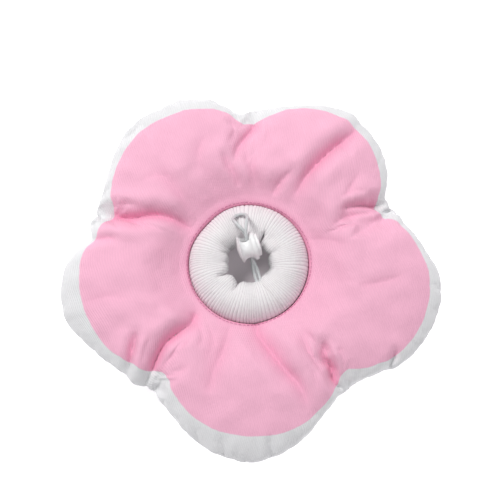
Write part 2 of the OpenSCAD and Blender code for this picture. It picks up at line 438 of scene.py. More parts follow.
def moulded_plastic(name):
    """White moulded plastic: faint flow mottling and fine orange peel."""
    f = Finish(name, (0.88, 0.885, 0.895), 0.33, Coat_Weight=0.12, Coat_Roughness=0.25,
               Specular_IOR_Level=0.45, Subsurface_Weight=0.08)
    f.shader.inputs["Subsurface Radius"].default_value = (0.001, 0.001, 0.001)
    f.shader.inputs["Subsurface Scale"].default_value = 0.6
    place = f.place()
    flow = f.noise(place, 160.0, 3.0, 0.6)
    peel = f.noise(place, 1900.0, 2.0, 0.5)
    f.link(f.bump(peel, 0.00005, 0.35), f.shader.inputs["Normal"])
    f.link(f.mix(flow, (0.87, 0.875, 0.885), (0.92, 0.922, 0.925)), f.shader.inputs["Base Color"])
    rough = f.math("ADD", 0.27, f.math("MULTIPLY", flow, 0.16))
    f.link(rough, f.shader.inputs["Roughness"])
    return f.material


def spring_wire(name):
    f = Finish(name, (0.62, 0.62, 0.63), 0.28, Metallic=1.0)
    drawn = f.noise(f.place(), 1400.0, 2.0, 0.5)
    f.link(f.math("ADD", 0.2, f.math("MULTIPLY", drawn, 0.2)), f.shader.inputs["Roughness"])
    f.link(f.bump(drawn, 0.00002, 0.4), f.shader.inputs["Normal"])
    return f.material


FACE_CLOTH = peach_skin("printed_peach_skin", True)
BACK_CLOTH = peach_skin("white_peach_skin", False)
KNIT = rib_knit("rib_knit")
FIBRE = fibre("loose_fibre")
MAUVE = spun_thread("mauve_thread", (0.66, 0.20, 0.38), (0.45, 0.12, 0.25))
WHITE_THREAD = spun_thread("white_thread", (0.80, 0.77, 0.79), (0.62, 0.58, 0.60))
CORD = elastic_cord("elastic_cord_cover")
PLASTIC = moulded_plastic("white_moulded_plastic")
WIRE = spring_wire("drawn_spring_wire")


def finish_piece(piece, material, body, nodes=()):
    piece.data.materials.clear()
    piece.data.materials.append(material)
    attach(piece, body)
    if nodes:
        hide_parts(*nodes)
    return piece


# ------------------------------------------------------------------ drawcord

WELD = 1e-6
DOME_TURNS = (0.35, 0.75, 1.25)


def tube_mesh(name, path, radius, sides, ref=(0.0, 0.15, 1.0)):
    """A round tube along path, with its rings kept from twisting; ends are domed."""
    p = np.array(path, float)
    step = np.gradient(p, axis=0)
    t = step / np.linalg.norm(step, axis=1)[:, None]
    side = np.cross(np.array(ref, float), t[0])
    side /= np.linalg.norm(side)
    length = np.r_[0, np.cumsum(np.linalg.norm(np.diff(p, axis=0), axis=1))]
    rings = []
    for i in range(len(p)):
        side = side - t[i] * np.dot(side, t[i])
        side /= np.linalg.norm(side)
        rings.append((p[i], t[i], side.copy(), radius, length[i]))

    def dome(ring, way):
        return [(ring[0] + way * ring[1] * radius * math.sin(turn), ring[1], ring[2],
                 radius * math.cos(turn), ring[4] + way * radius * math.sin(turn))
                for turn in DOME_TURNS]

    rings = dome(rings[0], -1)[::-1] + rings + dome(rings[-1], 1)
    verts, uv = [], []
    for centre, tangent, s, r, along in rings:
        b = np.cross(tangent, s)
        for k in range(sides + 1):
            a = 2 * math.pi * k / sides
            verts.append(centre + r * (s * math.cos(a) + b * math.sin(a)))
            uv.append((k / sides, along))
    row = sides + 1
    faces = [(i * row + k, i * row + k + 1, (i + 1) * row + k + 1, (i + 1) * row + k)
             for i in range(len(rings) - 1) for k in range(sides)]
    n = len(rings)
    faces.append(tuple(reversed(range(sides))))
    faces.append(tuple((n - 1) * row + k for k in range(sides)))
    piece = mesh_piece(name, verts, faces)
    point_uv(piece, uv)
    return piece


LOCK_AT = np.array([0.0, 22.2, 12.8]) * MM
ROUTE_OUT = [(1.4, 0, 0), (1.4, 3.5, 0.9), (1.3, 7, 2.2), (0.8, 10.5, 4.0)]
ROUTE_END = [(0.4, 31.6, 20.3), (1.2, 34.2, 21.9), (2.4, 37.0, 22.4), (3.7, 39.8, 21.3),
             (4.8, 42.3, 18.3), (5.2, 44.5, 14.0), (4.6, 46.4, 10.7), (2.7, 47.8, 8.6)]
TIP = (0.0, 48.3, 7.9)
HOLE_LINE = np.array([0, math.cos(SLOPE), math.sin(SLOPE)])
HOLE_UP = np.array([0, -math.sin(SLOPE), math.cos(SLOPE)])
STACK = 1.25 * MM


def loop_point(p):
    return EXIT + ACROSS * p[0] + FORWARD * p[1] + UP * p[2]


def strand(side):
    stack = side * STACK * HOLE_UP
    route = [np.array(p) * MM for p in ROUTE_OUT]
    route.append(np.array([0.2, 13.3, 6.0]) * MM + 0.7 * stack)
    route += [LOCK_AT + s * MM * HOLE_LINE + stack for s in (-9, 0, 9)]
    route += [np.array(p) * MM + stack * max(0, 0.7 - 0.35 * i)
              for i, p in enumerate(ROUTE_END)]
    return route


def drawcord():
    back = [p * np.array([-1, 1, 1]) for p in reversed(strand(-1))]
    route = catmull(strand(1) + [np.array(TIP) * MM] + back, 6)
    path = np.array([loop_point(p) for p in route])
    loop = face_outward(tube_mesh("drawcord_loop_cord", path, CORD_D / 2, 14), WELD)
    finish_piece(loop, CORD, "loop", ["drawcord_loop"])
    length = float(np.linalg.norm(np.diff(path, axis=0), axis=1).sum())
    return loop, path, length


loop_cord, loop_path, loop_length = drawcord()

# ------------------------------------------------------------------ padded flower

TURNS = 720
TURN = np.linspace(0, 2 * math.pi, TURNS, endpoint=False)


def petal_reach(angle, petals, soft):
    """How far the outline of overlapping round petals lies from the neck axis."""
    reach = []
    for direction, distance, radius in petals:
        a = angle - math.radians(direction)
        under = radius ** 2 - (distance * np.sin(a)) ** 2
        reach.append(np.where(under > 0, distance * np.cos(a) + np.sqrt(np.maximum(under, 0)), 0))
    reach = np.array(reach)
    top = reach.max(0)
    return top + soft * np.log(np.exp((reach - top) / soft).sum(0))


def lookup(table):
    def read(angle):
        x = (np.asarray(angle) % (2 * math.pi)) / (2 * math.pi) * TURNS
        i = np.floor(x).astype(int)
        f = x - i
        return table[i % TURNS] * (1 - f) + table[(i + 1) % TURNS] * f
    return read


outline = lookup(petal_reach(TURN, PETALS, 0.0025))
printed = lookup(petal_reach(TURN, PRINT, 0.0012))
CUT_EASE = 1.17


def cut_reach(angle):
    return NECK + (outline(angle) - NECK) * CUT_EASE


def flat_cut(step):
    """Both panels' flat pattern: an even triangle mesh between the neck and the rim."""
    seed = np.random.default_rng(5)
    fine = np.linspace(0, 2 * math.pi, 4000, endpoint=False)
    edge = cut_reach(fine)[:, None] * np.c_[np.cos(fine), np.sin(fine)]
    edge = np.r_[edge, edge[:1]]
    length = np.r_[0, np.cumsum(np.linalg.norm(np.diff(edge, axis=0), axis=1))]
    rim_count = int(length[-1] / step)
    s = np.linspace(0, length[-1], rim_count, endpoint=False)
    rim = np.c_[np.interp(s, length, edge[:, 0]), np.interp(s, length, edge[:, 1])]
    neck_count = int(2 * math.pi * NECK / step)
    a = np.linspace(0, 2 * math.pi, neck_count, endpoint=False)
    neck = NECK * np.c_[np.cos(a), np.sin(a)]
    xs = np.arange(-0.2, 0.2, step)
    rows = [np.c_[xs + (j % 2) * step / 2, np.full_like(xs, y)]
            for j, y in enumerate(np.arange(-0.2, 0.2, step * math.sqrt(3) / 2))]
    inner = np.concatenate(rows)
    inner += seed.uniform(-0.12, 0.12, inner.shape) * step
    r, angle = np.hypot(*inner.T), np.arctan2(inner[:, 1], inner[:, 0])
    inner = inner[(r > NECK + 0.6 * step) & (r < cut_reach(angle) - 0.6 * step)]
    points = np.r_[rim, neck, inner]
    rings = [(i, (i + 1) % rim_count) for i in range(rim_count)]
    rings += [(rim_count + i, rim_count + (i + 1) % neck_count) for i in range(neck_count)]
    made = delaunay_2d_cdt([Vector(p) for p in points.tolist()], rings, [], 0, 1e-7)
    flat = np.array([list(v) for v in made[0]])
    faces = np.array([list(f) for f in made[2]])
    mid = flat[faces].mean(1)
    r, angle = np.hypot(*mid.T), np.arctan2(mid[:, 1], mid[:, 0])
    faces = faces[(r > NECK * 0.999) & (r < cut_reach(angle))]
    a, b = flat[faces[:, 1]] - flat[faces[:, 0]], flat[faces[:, 2]] - flat[faces[:, 0]]
    turned = a[:, 0] * b[:, 1] - a[:, 1] * b[:, 0] < 0
    faces[turned] = faces[turned][:, ::-1]
    return flat, faces, rim_count, neck_count


def laid(flat):
    """Where a point of the flat cut lies once the pad is filled, before it wrinkles."""
    r, angle = np.hypot(*flat.T), np.arctan2(flat[:, 1], flat[:, 0])
    t = np.clip((r - NECK) / (cut_reach(angle) - NECK), 0, 1)
    width = outline(angle) - NECK
    reach = NECK + width * (0.55 * 0.5 * (1 - np.cos(math.pi * t)) + 0.45 * t)
    rise = 0.022 * np.minimum(1, width / 0.085) * np.sin(math.pi * t) ** 0.75
    return reach, angle, rise


def filled_pad(step=0.003, frames=32):
    """Sew the two flat panels at rim and neck, fill them and let the cloth settle."""
    flat, faces, rim, neck = flat_cut(step)
    n, edge = len(flat), rim + neck
    reach, angle, rise = laid(flat)
    top = np.c_[reach * np.cos(angle), reach * np.sin(angle), SEAM_Z + rise]
    under = np.c_[top[edge:, :2], SEAM_Z - rise[edge:]]
    lower = np.r_[np.arange(edge), np.arange(n, 2 * n - edge)]
    all_faces = np.r_[faces, lower[faces][:, ::-1]]
    flat_both = np.r_[flat, flat[edge:]]
    big = 10.0    # the cloth is settled at ten times its size
    points = np.r_[top, under]
    work = mesh_piece("pad_in_work", points * big, all_faces)
    work.shape_key_add(name="Basis")
    rest = work.shape_key_add(name="flat_cut")
    cut_at_seam = np.c_[flat_both, np.full(len(flat_both), SEAM_Z)]
    rest.data.foreach_set("co", (cut_at_seam * big).ravel())
    rest.value = 0
    held = work.vertex_groups.new(name="neck_seam")
    held.add(list(range(rim, edge)), 1.0, "REPLACE")
    seam = work.vertex_groups.new(name="rim_seam")
    seam.add(list(range(rim)), 1.0, "REPLACE")
    cloth = work.modifiers.new("filled", "CLOTH")
    s = cloth.settings
    s.quality = 8
    s.mass = 0.3
    s.tension_stiffness = s.compression_stiffness = 80
    s.shear_stiffness = 20
    s.bending_stiffness = 2.0
    s.tension_damping = s.compression_damping = s.shear_damping = 10
    s.bending_damping = 1.0
    s.air_damping = 1.5
    s.use_pressure = True
    s.uniform_pressure_force = 1.2
    s.vertex_group_mass = "neck_seam"
    s.pin_stiffness = 10
    s.rest_shape_key = rest
    s.vertex_group_shrink = "rim_seam"
    s.shrink_min, s.shrink_max = 0.0, 0.09
    s.effector_weights.gravity = 0
    cloth.collision_settings.use_self_collision = False
    cloth.collision_settings.use_collision = False
    cloth.point_cache.frame_start, cloth.point_cache.frame_end = 1, frames
    for f in range(1, frames + 1):
        scene.frame_set(f)
    points = read_points(evaluated(work).data) / big
    bpy.data.objects.remove(work)
    scene.frame_set(1)
    return points, all_faces, flat_both, rim, neck, n


def neck_radius(angle):
    """The cuff's visible edge: a circle drawn a little flat at the far left."""
    off = (np.asarray(angle) - math.radians(138) + math.pi) % (2 * math.pi) - math.pi
    return NECK - 0.0018 * np.exp(-(off / 0.36) ** 2)


def even(table, half):
    """Smooth a round-the-axis table over about `half` steps to each side."""
    window = np.hanning(2 * half + 3)[1:-1]
    window /= window.sum()
    return np.convolve(np.r_[table[-half:], table, table[:half]], window, "same")[half:-half]


def lying_rim():
    x, y = np.array(RIM).T * MM
    a, r = np.arctan2(y, x), np.hypot(x, y)
    order = np.argsort(a)
    return even(np.interp(TURN, a[order], r[order], period=2 * math.pi), 2)


def settle_outline(points):
    """Ease the filled pad to the outline that it lies in, and press it to its height."""
    r, angle = np.hypot(points[:, 0], points[:, 1]), np.arctan2(points[:, 1], points[:, 0])
    step = (angle % (2 * math.pi) / (2 * math.pi) * TURNS).astype(int) % TURNS
    widest = np.zeros(TURNS)
    np.maximum.at(widest, step, r)
    near = np.stack([np.roll(widest, k) for k in range(-2, 3)])
    widest = even(near.max(0), 3)
    ratio = lookup((lying_rim() - NECK) / (widest - NECK))
    out_share = np.clip((r - NECK) / 0.03, 0, 1)
    reach = NECK + (r - NECK) * (1 + (ratio(angle) - 1) * out_share)
    out = points.copy()
    out[:, 0], out[:, 1] = reach * np.cos(angle), reach * np.sin(angle)
    rise = points[:, 2] - SEAM_Z
    share = np.clip(rise / 0.033, 0, 1)
    out[:, 2] = SEAM_Z + np.where(rise > 0, 0.0255 * (1 - (1 - share) ** 1.45), rise * 0.74)
    return out


def printed_edge(flat, points, n):
    """Signed distance on the flat cloth from each point to the printed flower's edge."""
    flat_r, flat_a = np.hypot(*flat.T), np.arctan2(flat[:, 1], flat[:, 0])
    lying = np.hypot(points[:n, 0], points[:n, 1])
    lying_a = np.arctan2(points[:n, 1], points[:n, 0])
    miss = lying - printed(lying_a)
    table = np.zeros(TURNS)
    step = (flat_a[:n] % (2 * math.pi)) / (2 * math.pi) * TURNS
    for i in range(0, TURNS, 4):
        off = (step - i + TURNS / 2) % TURNS - TURNS / 2
        near = (np.abs(off) < 7) & (np.abs(miss) < 0.014)
        if near.sum() > 5:
            fit = np.polyfit(miss[near], flat_r[:n][near], 1)
            table[i:i + 4] = fit[1]
        else:
            table[i:i + 4] = cut_reach(2 * math.pi * i / TURNS) - 0.006
    table = even(table, 7)
    edge = lookup(table)
    slope = lookup(np.gradient(table, TURN[1]) / table)
    return (flat_r - edge(flat_a)) / np.sqrt(1 + slope(flat_a) ** 2)


# Creases that the print's cloth falls into, as it lies: a run of points in mm,
# the depth, the width, and how much the cloth swells beside the crease.
CREASES = [
    ([(-118, 30), (-100, 34), (-85, 33.5), (-70, 35), (-55, 32), (-44, 26)], 8.5, 5.0, 0.45),
    ([(-116, 17), (-107, 17.5), (-97, 17)], 3.0, 3.0, 0.4),
    ([(4, 110), (3, 101), (-4, 92), (-9, 83), (-10, 75)], 5.0, 4.4, 0.6),
    ([(-19, 80), (-15, 72), (-9, 62), (-8, 56)], 2.2, 3.2, 0.5),
    ([(-2, 84), (-1, 76), (3, 66), (5, 57)], 1.8, 5.0, 0.4),
    ([(-33, 92), (-37, 82), (-38, 72)], 1.3, 4.5, 0.5),
    ([(78, 97), (70, 91), (60, 83), (50, 73), (42, 63), (35, 51)], 7.0, 5.4, 0.6),
    ([(31, 67), (23, 59), (17, 50)], 3.0, 4.0, 0.5),
    ([(100, 45), (90, 43), (80, 42), (69, 39)], 7.0, 4.0, 0.55),
    ([(90, 37), (80, 35), (70, 32), (62, 26)], 3.2, 4.0, 0.6),
    ([(80, 63), (76, 56), (71, 49)], 1.5, 3.0, 0.5),
    ([(-76, -90), (-71, -79), (-66, -68), (-60, -59), (-50, -51), (-42, -45), (-39, -37)],
     8.0, 5.0, 0.5),
    ([(-88, -80), (-86, -69), (-84, -60), (-82, -53)], 5.0, 3.4, 0.6),
    ([(69, -93), (62, -87), (60, -77), (55, -70), (56, -60)], 7.5, 3.6, 0.6),
    ([(39, -56), (44, -67), (51, -78), (56, -84)], 3.2, 5.0, 0.5),
    ([(4, -44), (8, -55), (16, -66), (26, -79), (36, -90), (42, -104)], 5.5, 7.0, 0.8),
    ([(-14, -48), (-18, -64), (-25, -80), (-29, -97)], 3.0, 8.0, 0.7),
    ([(-41, -40), (-34, -54), (-36, -64)], 2.0, 5.0, 0.5),
    ([(-62, 62), (-50, 48), (-42, 36)], 1.8, 7.0, 0.5),
    ([(-78, 60), (-68, 64), (-58, 62)], 1.2, 6.0, 0.5),
    ([(110, -12), (95, -16), (80, -19)], 1.3, 4.5, 0.5),
    ([(-20, -132), (-18, -140), (-17, -147)], 2.4, 2.6, 0.5),
    ([(15, -130), (16, -138), (17, -146)], 2.6, 2.4, 0.5),
    ([(-40, -122), (-37, -128), (-34, -137)], 1.6, 3.0, 0.4),
    ([(108, -66), (105, -73), (102, -81)], 4.0, 3.0, 0.5),
    ([(-84, 104), (-86, 99), (-92, 93)], 3.0, 3.0, 0.5),
    ([(-104, 41), (-92, 43), (-80, 41)], 1.6, 3.0, 0.5),
    ([(-98, 27), (-86, 26), (-72, 23)], 1.5, 4.0, 0.5),
    ([(-13, 105), (-11, 96), (-15, 88)], 2.0, 3.0, 0.6),
    ([(13, 104), (14, 95), (11, 86)], 1.5, 4.0, 0.5),
    ([(66, 88), (72, 83), (76, 78)], 1.5, 3.5, 0.5),
    ([(86, 52), (77, 52), (68, 47)], 2.0, 3.0, 0.5),
    ([(-66, -83), (-60, -74), (-52, -66)], 2.2, 3.4, 0.6),
    ([(-78, -74), (-75, -64), (-71, -56)], 1.6, 3.0, 0.5),
    ([(68, -84), (69, -74), (66, -64)], 2.2, 3.4, 0.6),
    ([(50, -92), (48, -84), (42, -76)], 1.4, 3.6, 0.5),
    ([(-30, -44), (-26, -58), (-30, -72)], 1.3, 5.0, 0.5),
    ([(45, 18), (60, 16), (74, 11)], 1.0, 5.0, 0.5),
    ([(-120, -30), (-104, -26), (-90, -28)], 1.0, 6.0, 0.5),
]


CREASE_GAIN = 1.25
CRUMPLE = 0.0040    # height of the crumple, as a share of each wave's length


def crease_depth(xy):
    drop = np.zeros(len(xy))
    for run, depth, width, swell in CREASES:
        line = catmull(np.array(run) * MM, 8)
        near = np.full(len(xy), 1.0)
        along = np.zeros(len(xy))
        total = len(line) - 1
        for i in range(total):
            a, b = line[i], line[i + 1]
            t = np.clip(((xy - a) @ (b - a)) / ((b - a) @ (b - a)), 0, 1)
            d = np.linalg.norm(xy - a - t[:, None] * (b - a), axis=1)
            closer = d < near
            near = np.where(closer, d, near)
            along = np.where(closer, (i + t) / total, along)
        fade = np.sin(math.pi * np.clip(along * 0.84 + 0.12, 0, 1)) ** 0.7
        w = width * MM
        valley = np.exp(-near / w * 1.25)
        bank = np.exp(-((near - 2.2 * w) / (1.3 * w)) ** 2)
        drop += CREASE_GAIN * depth * MM * fade * (valley - swell * 0.5 * bank)
    return drop


def crumple(xy):
    """A slight unevenness of the filling under the cloth."""
    seed = np.random.default_rng(8)
    height = np.zeros(len(xy))
    for _ in range(30):
        wave = seed.uniform(0.011, 0.034)
        heading, phase = seed.uniform(0, math.pi), seed.uniform(0, 2 * math.pi)
        run = xy @ np.array([math.cos(heading), math.sin(heading)])
        height += CRUMPLE * wave * np.sin(2 * math.pi * run / wave + phase)
    return height


def seam_puckers(flat):
    """How deep the short gathers of the rim seam press into the cloth."""
    seed = np.random.default_rng(3)
    r, angle = np.hypot(*flat.T), np.arctan2(flat[:, 1], flat[:, 0])
    from_rim = cut_reach(angle) - r
    drop = np.zeros(len(flat))
    turn = 0.0
    while turn < 2 * math.pi:
        depth, width = seed.uniform(0.5, 1.9) * MM, seed.uniform(1.8, 3.6) * MM
        run, lean = seed.uniform(7, 20) * MM, seed.uniform(-0.5, 0.5)
        off = (angle - turn + math.pi) % (2 * math.pi) - math.pi
        arc = off * r + lean * from_rim
        drop += (depth * np.exp(-(arc / width) ** 2) * np.exp(-(from_rim / run) ** 2)
                 * (np.abs(off) < 1))
        turn += seed.uniform(8, 19) * MM / float(cut_reach(turn))
    return drop


def panels():
    points, faces, flat, rim, neck, n = filled_pad()
    points = settle_outline(points)
    edge = rim + neck
    top_count = len(faces) // 2
    print_edge = printed_edge(flat, points, n)

    whole = mesh_piece("pad_whole", points, faces)
    point_uv(whole, flat)
    float_attribute(whole, "print_edge", print_edge)
    float_attribute(whole, "pucker", seam_puckers(flat))
    smooth = whole.modifiers.new("round", "SUBSURF")
    smooth.levels = smooth.render_levels = 1
    smooth.boundary_smooth = "PRESERVE_CORNERS"
    crease = whole.data.attributes.new("crease_edge", "FLOAT", "EDGE")
    ends = np.empty(len(whole.data.edges) * 2, np.int32)
    whole.data.edges.foreach_get("vertices", ends)
    ends = ends.reshape(-1, 2)
    at_rim = (ends < rim).all(1)
    at_neck = ((ends >= rim) & (ends < edge)).all(1)
    sharp = np.where(at_rim, 0.75, np.where(at_neck, 1.0, 0))
    crease.data.foreach_set("value", sharp.astype(np.float32))
    panel_mark = whole.data.attributes.new("upper", "INT", "FACE")
    panel_mark.data.foreach_set("value", [1] * top_count + [0] * (len(faces) - top_count))
    made = bpy.data.meshes.new_from_object(evaluated(whole))
    bpy.data.objects.remove(whole)

    co = read_points(made)
    upper = read_attribute(made, "upper", np.int32)
    loops = np.empty(len(made.loops), np.int32)
    made.loops.foreach_get("vertex_index", loops)
    quads = loops.reshape(-1, 4)
    on_top = np.zeros(len(co), bool)
    on_top[quads[upper == 1].ravel()] = True
    below = np.zeros(len(co), bool)
    below[quads[upper == 0].ravel()] = True
    lid = on_top & ~below
    # Round the cuff the pad slopes in from its crests, most on its far left, and beside
    # the cuff the cloth climbs steeply from the neck seam.
    r, turn = np.hypot(co[:, 0], co[:, 1]), np.arctan2(co[:, 1], co[:, 0])
    out = np.maximum(r - NECK, 0)
    facing = 0.5 + 0.5 * np.cos(turn - math.radians(125))
    t = np.clip(out / 0.042, 0, 1)
    slope = 0.0300 - 0.0025 * facing + (0.0160 + 0.0045 * facing) * (1 - (1 - t) ** 1.5)
    u = np.clip(out / 0.007, 0, 1)
    bank = SEAM_Z + (slope - SEAM_Z) * (1 - (1 - u) ** 5)
    held = np.clip((0.036 - out) / 0.026, 0, 1)
    held = held * held * (3 - 2 * held)
    co[lid, 2] += ((bank - co[:, 2]) * held)[lid]
    close = (neck_radius(turn) + 0.007 * u ** 1.9 + np.maximum(out - 0.007, 0)
             + (NECK - neck_radius(turn)) * np.clip(out / 0.03, 0, 1)) / np.maximum(r, 1e-6)
    beside = lid & (r > NECK * 1.002)
    co[beside, :2] *= close[beside, None]
    pucker = read_attribute(made, "pucker")
    height = np.clip((co[:, 2] - SEAM_Z) / 0.008, 0, 1)
    folds = crease_depth(co[:, :2])
    # Painted shade: a mask from crease depth and closeness to the cuff that deepens the printed pink.
    cuff_side_shade = np.exp(-(out / 0.0035) ** 2) + 0.12 * np.exp(-(out / 0.03) ** 2)
    fold = np.clip(folds / 0.014 + 0.75 * cuff_side_shade, 0, 0.8)
    drop = (folds - crumple(co[:, :2]) * np.clip(out / 0.012, 0, 1)) * height
    co[lid, 2] -= drop[lid]
    co[:, 2] -= np.where(on_top, 1, -1) * pucker * np.clip(np.abs(co[:, 2] - SEAM_Z) / 0.003, 0, 1)
    draw = 1 - 0.5 * pucker / np.maximum(r, NECK) * np.clip((r - 0.08) / 0.02, 0, 1)
    co[:, :2] *= draw[:, None]
    # The pad lies on its back panel, which is flat where it touches.
    rest = 0.0004 + 0.0016 * np.logaddexp(0, (co[:, 2] - 0.0014) / 0.0016)
    co[:, 2] = np.where(lid, co[:, 2], rest)
    uv = np.empty(len(made.loops) * 2, np.float32)
    made.uv_layers[0].data.foreach_get("uv", uv)
    uv = uv.reshape(-1, 4, 2)
    mark = read_attribute(made, "print_edge")

    def cut(name, chosen, material, slot, nodes):
        used = quads[chosen]
        ids, inverse = np.unique(used, return_inverse=True)
        piece = mesh_piece(name, co[ids], inverse.reshape(-1, 4))
        layer = piece.data.uv_layers.new(name="UVMap")
        layer.data.foreach_set("uv", uv[chosen].ravel())
        float_attribute(piece, "print_edge", mark[ids])
        float_attribute(piece, "fold", fold[ids])
        wall = piece.modifiers.new("cloth_thickness", "SOLIDIFY")
        wall.thickness = 0.0008
        wall.offset = -1
        finish_piece(piece, material, "collar", nodes)
        return piece

    face = cut("face_panel_cloth", upper == 1, FACE_CLOTH, "face_cloth", ["face_panel"])
    cut("back_panel_cloth", upper == 0, BACK_CLOTH, "back_cloth", ["back_panel"])
    bpy.data.meshes.remove(made)

    # The fill is the same settled shape, a little inside the cloth.
    stuffing = mesh_piece("fibre_fill_mass", co[:len(points)], faces)
    normal = np.empty(len(points) * 3)
    stuffing.data.vertices.foreach_get("normal", normal)
    inside = co[:len(points)] - normal.reshape(-1, 3) * 0.003
    seam_end = np.arange(len(points)) < edge
    inside[:, 2] = np.maximum(inside[:, 2], 0.003)
    inside[seam_end, :2] *= np.where(np.arange(edge) < rim, 0.975, 1.06)[:, None]
    stuffing.data.vertices.foreach_set("co", inside.ravel())
    stuffing.data.update()
    finish_piece(stuffing, FIBRE, "collar", ["fibre_fill"])
    return face, co[:rim]


face_cloth, rim_line = panels()

# ------------------------------------------------------------------ neck cuff

# Folds of the gathered mouth: direction, depth, width along the mouth in mm,
# and how far out towards the crest the fold runs (0 at the mouth, 1 at the base).
PLEATS = [(62, 7.5, 1.5, 0.30), (48, 2.0, 2.4, 0.55), (22, 2.6, 1.8, 0.42), (-58, 1.0, 1.4, 0.55),
          (-117, 3.8, 1.5, 0.34), (206, 4.6, 1.6, 0.40), (146, 2.6, 3.6, 0.55), (160, 1.8, 1.6, 0.3),
          (98, 1.4, 2.6, 0.40), (180, 0.9, 1.8, 0.35), (-15, 1.2, 3.0, 0.4)]
MOUTH = [(0, 14.8), (24, 15.9), (50, 15.6), (62, 19.5), (76, 16.6), (100, 16.4), (120, 15.6),
         (133, 14.9), (160, 15.0), (185, 15.8), (207, 18.2), (222, 16.2), (241, 17.4), (256, 15.2),
         (270, 14.6), (290, 15.2), (315, 14.4), (340, 14.7)]
# Middle of the doubled knit from the neck seam over the roll to the mouth, (radius, height).
ROLL_LINE = [(42.5, 22.2), (42.7, 24.5), (42.6, 27.2), (42.0, 30), (40.4, 33.2), (37.6, 36.2), (33.8, 38.6),
             (29.5, 39.6), (25.5, 39.3), (22.2, 38.2), (19.5, 36.4), (17.8, 34.2), (17.1, 31.8)]
RIBS = 112


